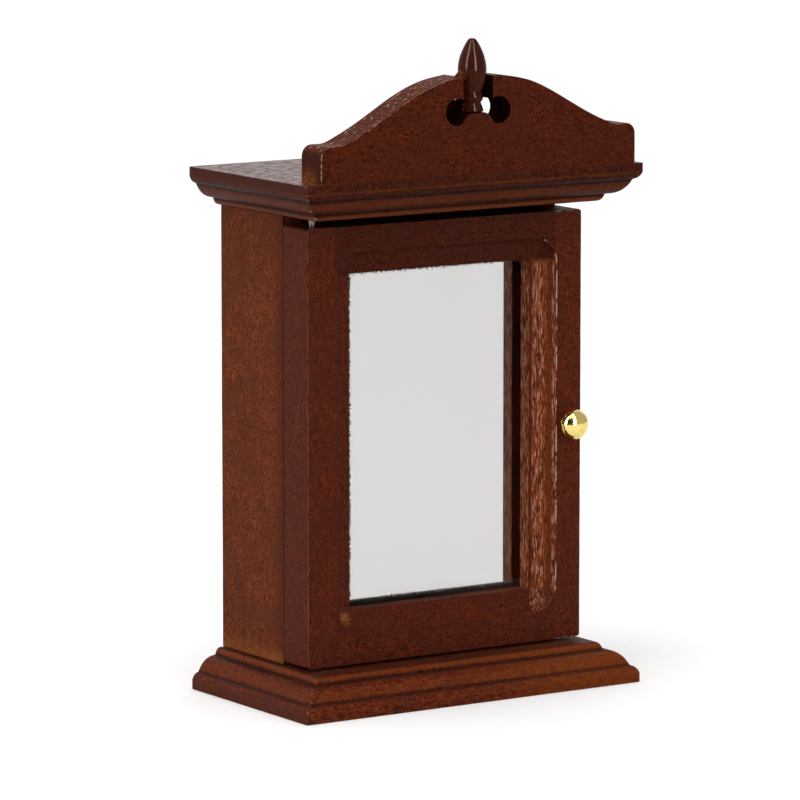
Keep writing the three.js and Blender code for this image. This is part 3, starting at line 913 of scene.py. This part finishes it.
def pin_mesh(node):
    """A pivot pin of drawn wire with chamfered ends."""
    low, high = box_mm(node)
    radius = (high.x - low.x) / 2
    chamfer = 0.12
    profile = [(0.01, low.z), (radius - chamfer, low.z), (radius, low.z + chamfer)]
    profile += [(radius, high.z - chamfer), (radius - chamfer, high.z), (0.01, high.z)]
    mesh = lathe([Vector(p) for p in profile], 32)
    mesh.transform(Matrix.Translation(((low.x + high.x) / 2, (low.y + high.y) / 2, 0)))
    return mesh


# ---------------------------------------------------------------- crest and finial


def crest_half_edge(half_width):
    """From the foot over the end block and along the top edge, from the crest's middle."""
    shoulder = half_width - CREST_END_RADIUS
    edge = arc((shoulder, CREST_END_HEIGHT - CREST_END_RADIUS), CREST_END_RADIUS, 0, math.pi / 2, 8)
    return edge + spline([(shoulder, CREST_END_HEIGHT), *CREST_TOP], 6)[1:]


def slot_half_edge():
    """Down the slot's side, round its lobe and up the mound's flank, from the slot's middle."""
    side = SLOT_HALF_WIDTH - LOBE_OFFSET
    start = math.atan2(math.sqrt(LOBE_RADIUS**2 - side**2), side)
    edge = [Vector((SLOT_HALF_WIDTH, SLOT_TOP))]
    edge += arc((LOBE_OFFSET, LOBE_HEIGHT), LOBE_RADIUS, start, LOBE_END_ANGLE, 36)
    return edge + bezier([edge[-1], (1.5, 5.95), (MOUND_HALF_WIDTH, MOUND_HEIGHT)], 4)


def crest_outline():
    low, high = box_mm("crest_board")
    half_width = (high.x - low.x) / 2
    sides = []
    for hand in (1, -1):
        side = [Vector((CREST_X + hand * half_width, 0))]
        for p in crest_half_edge(half_width):
            side.append(Vector((CREST_X + hand * p.x, p.y + hand * CREST_TILT * p.x)))
        side += [Vector((SLOT_X + hand * p.x, p.y)) for p in slot_half_edge()]
        sides.append(side)
    return [Vector((p.x, low.z + p.y)) for p in sides[0] + sides[1][::-1]]


def crest_mesh(seed):
    """The crest, glued down without a gap; its cut-out and top edge have their own materials."""
    low, high = box_mm("crest_board")
    mesh = prism(crest_outline(), low.y, high.y)
    soften(mesh, lambda edge: all(v.co.z < low.z + 0.1 for v in edge.verts), 1.6 * ARRIS)
    cut_out_reach = LOBE_OFFSET + LOBE_RADIUS + 0.1
    cut_out_foot = low.z + LOBE_HEIGHT - LOBE_RADIUS - 0.1
    for face in mesh.faces:
        middle = face.calc_center_median()
        in_cut_out = abs(middle.x - SLOT_X) < cut_out_reach and middle.z > cut_out_foot
        below_lobe_top = middle.z < low.z + LOBE_HEIGHT + LOBE_RADIUS
        in_lobe = in_cut_out and face.material_index == 1 and below_lobe_top
        is_wall = in_cut_out and abs(face.normal.y) < 0.5 and (below_lobe_top or face.normal.z < 0.5)
        if in_lobe or is_wall:
            face.material_index = 2
        elif in_cut_out and face.material_index == 1:
            face.material_index = 0
        elif face.normal.z > 0.5:
            face.material_index = 3
    for vert in mesh.verts:
        if vert.co.z < low.z + 0.01:
            vert.co.z -= GLUE_GAP
    wander(mesh, WANDER, seed)
    return mesh


# The glue's cross-sections from left to right: (x, z) from the shoulder, and size.
GLUE_SECTIONS = [
    (-0.6, -0.12, 0.08),
    (-0.3, 0.05, 0.22),
    (0.0, 0.14, 0.4),
    (0.3, 0.26, 0.5),
    (0.6, 0.16, 0.5),
    (0.85, 0.02, 0.34),
    (0.98, -0.08, 0.08),
]


def glue_mesh(seed):
    """A wedge of dried glue and filler on the crest's left shoulder, drawn up against the finial."""
    front, top = box_mm("finial")[0].y, box_mm("crest_board")[1].z
    shoulder = Vector((SLOT_X - SLOT_HALF_WIDTH, front + 1.0, top - 0.12))
    turns = [i / 16 * 2 * math.pi for i in range(16)]
    rings = []
    for x, z, size in GLUE_SECTIONS:
        middle = shoulder + Vector((x, 0, z))
        across, up = 0.9 * size, size
        rings.append([middle + Vector((0, across * math.cos(a), up * math.sin(a))) for a in turns])
    mesh = bmesh.new()
    loft(mesh, rings)
    bmesh.ops.recalc_face_normals(mesh, faces=mesh.faces)
    wander(mesh, 0.05, seed, 1.1)
    return mesh


def crest_stop_mesh(seed):
    """The low stop behind the finial, let into the mound and just in from the board's back."""
    low, high = box_mm("crest_board")
    let_in, set_in = 0.4, 0.02
    foot = low.z + MOUND_HEIGHT - let_in
    near = Vector((SLOT_X - STOP_HALF_WIDTH, high.y - STOP_THICKNESS, foot))
    far = Vector((SLOT_X + STOP_HALF_WIDTH, high.y - set_in, low.z + STOP_HEIGHT))
    mesh = rounded_block(near, far, ARRIS, (6, 3, 3))
    wander(mesh, WANDER, seed)
    return mesh


def finial_mesh(seed):
    """The turned finial on its peg: foot, bead and bud."""
    low, high = box_mm("finial")
    mound = box_mm("crest_board")[0].z + MOUND_HEIGHT
    height = high.z - mound
    radius = (high.x - low.x) / 2
    profile = [Vector((0.02, low.z - mound)), Vector((0.4, low.z - mound)), Vector((0.4, 0.03))]
    profile += bezier([(1.05, 0.03), (1.14, 0.03), (1.16, 0.12)], 4)
    profile += bezier([(1.16, 0.12), (1.08, 0.55), (0.92, 0.82)], 7)
    profile += bezier([(0.92, 0.82), (0.86, 0.92), (0.92, 1.04)], 4)
    profile += bezier([(0.92, 1.04), (1.3, 1.5), (0.98, 2.0)], 10)
    profile += bezier([(0.98, 2.0), (0.93, 2.08), (0.99, 2.16)], 3)
    profile += bezier([(0.99, 2.16), (1.12, 2.6), (radius, 3.0), (radius, 4.15)], 14)
    profile += bezier([(radius, 4.15), (radius, 5.3), (1.1, 6.3), (0.5, height - 0.26)], 18)
    profile += bezier([(0.5, height - 0.26), (0.36, height), (0.02, height)], 8)
    mesh = lathe(profile)
    mesh.transform(Matrix.Translation(((low.x + high.x) / 2, (low.y + high.y) / 2, mound)))
    wander(mesh, WANDER, seed, 0.9)
    return mesh


# ---------------------------------------------------------------- the object


def wood_pair(name, stain, grain, seed, spots=(), rub_and_highlight=0.1):
    """Materials for a piece's faces and for its arrises, rubbed and given painted highlight."""
    face = face_wood(name, stain, grain, seed, spots)
    arris = arris_wood(name + "_arris", stain, grain, seed + 0.5, rub_and_highlight, spots)
    return face, arris


def build_boards():
    base_wood = moulded_wood("base_wood", shade(FRONT_STAIN, 0.97), 1, "plinth_board", False, 0.6)
    base = moulded_board("plinth_board", False, 1)
    piece("moulded_base", base, "cabinet", "plinth_board", "stained_wood", base_wood)
    # Painted shade: the cornice's stain is far darker than the base's, for its moulding that faces down.
    cornice_wood = moulded_wood("cornice_wood", shade(FRONT_STAIN, 0.41), 2, "cornice_board", True, 0.2)
    top_wood = board_top_wood("cornice_top_wood", FRONT_STAIN, 2)
    cornice = moulded_board("cornice_board", True, 2)
    for face in cornice.faces:
        if face.normal.z > 0.9:
            face.material_index = 1
    piece("moulded_cornice", cornice, "cabinet", "cornice_board", "stained_wood", cornice_wood, top_wood)


def build_carcass():
    for seed, node in ((3, "left_side"), (4, "right_side")):
        side = panel(node, (3, 16, 40), seed)
        woods = side_pair(node + "_wood", seed, *box_mm(node))
        piece(node + "_panel", side, "cabinet", node, "side_wood", *woods)
    inside = shade(SIDE_STAIN, 0.95)
    back = panel("back_panel", (24, 3, 40), 5)
    woods = wood_pair("back_wood", inside, "z", 5)
    piece("back_board", back, "cabinet", "back_panel", "interior_wood", *woods)
    for seed, node in ((6, "lower_shelf"), (7, "upper_shelf")):
        shelf = panel(node, (24, 10, 3), seed)
        woods = wood_pair(node + "_wood", inside, "x", seed)
        piece(node + "_board", shelf, "cabinet", node, "interior_wood", *woods)


# Bands of torn fibre and painted highlight up the right side of the cove: (distance from the lip, half
# width, amount).
TORN_HIGHLIGHT_BANDS = [(0.9, 0.7, 0.75), (COVE_WIDTH - 0.08, 0.1, 1.0), (0.0, 0.1, 0.8)]


def build_door():
    d = door_sizes()
    (x0, z0), (x1, z1) = d["sight"]
    knocked_corner = (x0 - 0.7, d["front"] + 1.0, z0 - 0.75)
    knocked = [(knocked_corner, 1.15)]
    torn_highlights = [(x + x1, half, amount, z0, z1) for x, half, amount in TORN_HIGHLIGHT_BANDS]
    # The rub amount gives each member's arrises wear and painted highlight, most on the hinge stile's
    # front edge; the upper rail's darker tone is painted shade under the cornice together with its
    # grain.
    members = [
        ("hinge_side_stile", "hinge_stile", stile(d, -1, 8), "z", 1.0, 1.2),
        ("lock_side_stile", "lock_stile", stile(d, 1, 9), "z", 1.03, 0.7),
        ("upper_door_rail", "door_top_rail", rail(d, "door_top_rail", 10), "x", 0.62, 0.05),
        ("lower_door_rail", "door_bottom_rail", rail(d, "door_bottom_rail", 11), "x", 0.9, 0.1),
    ]
    for i, (name, node, mesh, grain, tone, rub_and_highlight) in enumerate(members):
        stain = shade(FRONT_STAIN, tone)
        face, arris = wood_pair(name + "_wood", stain, grain, 8 + i, knocked, rub_and_highlight)
        orange_from = x1 - 0.3 if node == "lock_stile" else None
        routed = routed_wood(name + "_routed", stain, 20 + i, knocked, torn_highlights, orange_from)
        piece(name, mesh, "door", node, "stained_wood", face, arris, routed)


def build_mirror():
    low, high = box_mm("mirror_glass")
    plate = rounded_block(low, high, 0.06, (8, 2, 12))
    piece("mirror_plate", plate, "door", "mirror_glass", "mirror", mirror_glass_material())
    silver = silver_material(*silver_limits(door_sizes()))
    piece("mirror_silver", silvering(12), "door", None, "mirror", silver)
    backing = panel("mirror_backing", (20, 1, 30), 13)
    card = card_material()
    piece("mirror_backing_card", backing, "door", "mirror_backing", "backing_card", card, card)


def build_hardware():
    piece("turned_knob", knob_mesh(), "door", "door_knob", "brass", brass_material())
    steel = steel_material()
    for node in ("lower_pivot_pin", "upper_pivot_pin"):
        piece(node + "_wire", pin_mesh(node), "cabinet", node, "steel", steel)


def build_crest():
    low, _ = box_mm("crest_board")
    bare_corner = low + Vector((-0.3, 2.4, -0.3))
    spots = [(bare_corner, 2.4)]
    stain = shade(FRONT_STAIN, 0.8)
    face = crest_face_wood("crest_wood", stain, 14, low.x, spots)
    arris = arris_wood("crest_wood_arris", stain, "x", 14.5, 0.85, spots)
    # The cut-out's walls, the lobes' edges and the stop behind them are near black: painted shade, with
    # pooled stain.
    inside = cut_out_wood("crest_cut_out_wood", shade(FRONT_STAIN, 0.07), 17)
    top = crest_top_wood("crest_top_wood", shade(FRONT_STAIN, 0.6), 14)
    piece("crest", crest_mesh(14), "cabinet", "crest_board", "stained_wood", face, arris, inside, top)
    piece("crest_stop", crest_stop_mesh(16), "cabinet", "crest_board", "stained_wood", inside)
    glue = face_wood("glue_and_filler", shade(ORANGE_STAIN_AND_HIGHLIGHT, 0.5), "z", 18)
    piece("finial_glue", glue_mesh(18), "cabinet", None, "stained_wood", glue)
    polished = finial_wood("finial_wood", shade(FRONT_STAIN, 0.55), 15)
    piece("turned_finial", finial_mesh(15), "cabinet", "finial", "stained_wood", polished)


# ---------------------------------------------------------------- studio

CAMERA_AZIMUTH = -33.23
CAMERA_ELEVATION = 8.5
CAMERA_DISTANCE = 593.0
CAMERA_TARGET = Vector((-2.08, 0, 30.34))
CAMERA_LENS = 257.6

# The white surround, and in degrees of azimuth what gloss shows: strip lights, dim room, paper.
WORLD_STRENGTH = 1.03
STRIP_AZIMUTHS = (-80, -3)
STRIP_HALF_WIDTH = 5.5
STRIP_STRENGTH = 50.0
ROOM_AZIMUTH = -41
ROOM_HALF_WIDTH = 30
ROOM_LEVEL = 0.05
PAPER_AZIMUTH = 50
PAPER_HALF_WIDTH = 60
PAPER_LEVEL = 0.55

# The floor, and the soft light above it: degrees, millimetres and watts.
FLOOR_HALF = 3000
FLOOR_DROP = 0.02
LIGHT_AZIMUTH = -60
LIGHT_ELEVATION = 65
LIGHT_DISTANCE = 700
LIGHT_SIZE = 500
LIGHT_ENERGY = 1.6


def view_direction(azimuth, elevation):
    """The unit vector from the object towards a viewer."""
    a, e = math.radians(azimuth), math.radians(elevation)
    return Vector((math.sin(a) * math.cos(e), -math.cos(a) * math.cos(e), math.sin(e)))


def add_camera():
    data = bpy.data.cameras.new("camera")
    data.lens = CAMERA_LENS
    data.sensor_width = 36
    data.clip_start = 0.01
    data.clip_end = 20
    camera = bpy.data.objects.new("camera", data)
    back = view_direction(CAMERA_AZIMUTH, CAMERA_ELEVATION)
    camera.location = (CAMERA_TARGET + CAMERA_DISTANCE * back) * MM
    camera.rotation_euler = back.to_track_quat("Z", "Y").to_euler()
    bpy.context.scene.collection.objects.link(camera)
    bpy.context.scene.camera = camera


def add_overhead_light():
    data = bpy.data.lights.new("overhead", "AREA")
    data.shape = "SQUARE"
    data.size = LIGHT_SIZE * MM
    data.energy = LIGHT_ENERGY
    light = bpy.data.objects.new("overhead", data)
    direction = view_direction(LIGHT_AZIMUTH, LIGHT_ELEVATION)
    light.location = (CAMERA_TARGET + LIGHT_DISTANCE * direction) * MM
    light.rotation_euler = direction.to_track_quat("Z", "Y").to_euler()
    bpy.context.scene.collection.objects.link(light)


def add_floor():
    mesh = bmesh.new()
    half = FLOOR_HALF
    corners = ((-half, -half), (half, -half), (half, half), (-half, half))
    mesh.faces.new([mesh.verts.new((x, y, -FLOOR_DROP)) for x, y in corners])
    floor = plain_object("floor", mesh)
    s = Shader("pale_floor")
    s.set(Base_Color=(0.91, 0.91, 0.91, 1), Roughness=0.9, Specular_IOR_Level=0.1)
    floor.data.materials.append(s.material)


def world_gloss(n):
    """What polished surfaces mirror: strip lights, the dim room between them and grey paper."""
    direction = n.add("ShaderNodeTexCoord").outputs["Generated"]
    x, y, _ = n.add("ShaderNodeSeparateXYZ", {0: direction}).outputs
    azimuth = n.math("ARCTAN2", x, n.math("MULTIPLY", y, -1.0))
    room = n.band(azimuth, math.radians(ROOM_AZIMUTH), math.radians(ROOM_HALF_WIDTH), 0.15)
    paper = n.band(azimuth, math.radians(PAPER_AZIMUTH), math.radians(PAPER_HALF_WIDTH), 0.15)
    light = n.span(paper, 0.0, 1.0, 1.0, PAPER_LEVEL)
    light = n.math("MULTIPLY", light, n.span(room, 0.0, 1.0, 1.0, ROOM_LEVEL))
    for strip in STRIP_AZIMUTHS:
        shine = n.band(azimuth, math.radians(strip), math.radians(STRIP_HALF_WIDTH), 0.3)
        light = n.math("ADD", light, n.math("MULTIPLY", shine, STRIP_STRENGTH))
    return light


def add_studio():
    world = bpy.data.worlds.new("studio")
    world.use_nodes = True
    n = Nodes(world.node_tree)
    glossy = n.add("ShaderNodeLightPath").outputs["Is Glossy Ray"]
    strength = n.add("ShaderNodeMix", {0: glossy, 2: WORLD_STRENGTH, 3: world_gloss(n)}).outputs[0]
    n.tree.links.new(strength, world.node_tree.nodes["Background"].inputs["Strength"])
    world.node_tree.nodes["Background"].inputs["Color"].default_value = (1, 1, 1, 1)
    bpy.context.scene.world = world
    bpy.context.scene.view_settings.view_transform = "Standard"


add_camera()
add_floor()
add_studio()
add_overhead_light()
build_boards()
build_carcass()
build_door()
build_mirror()
build_hardware()
build_crest()
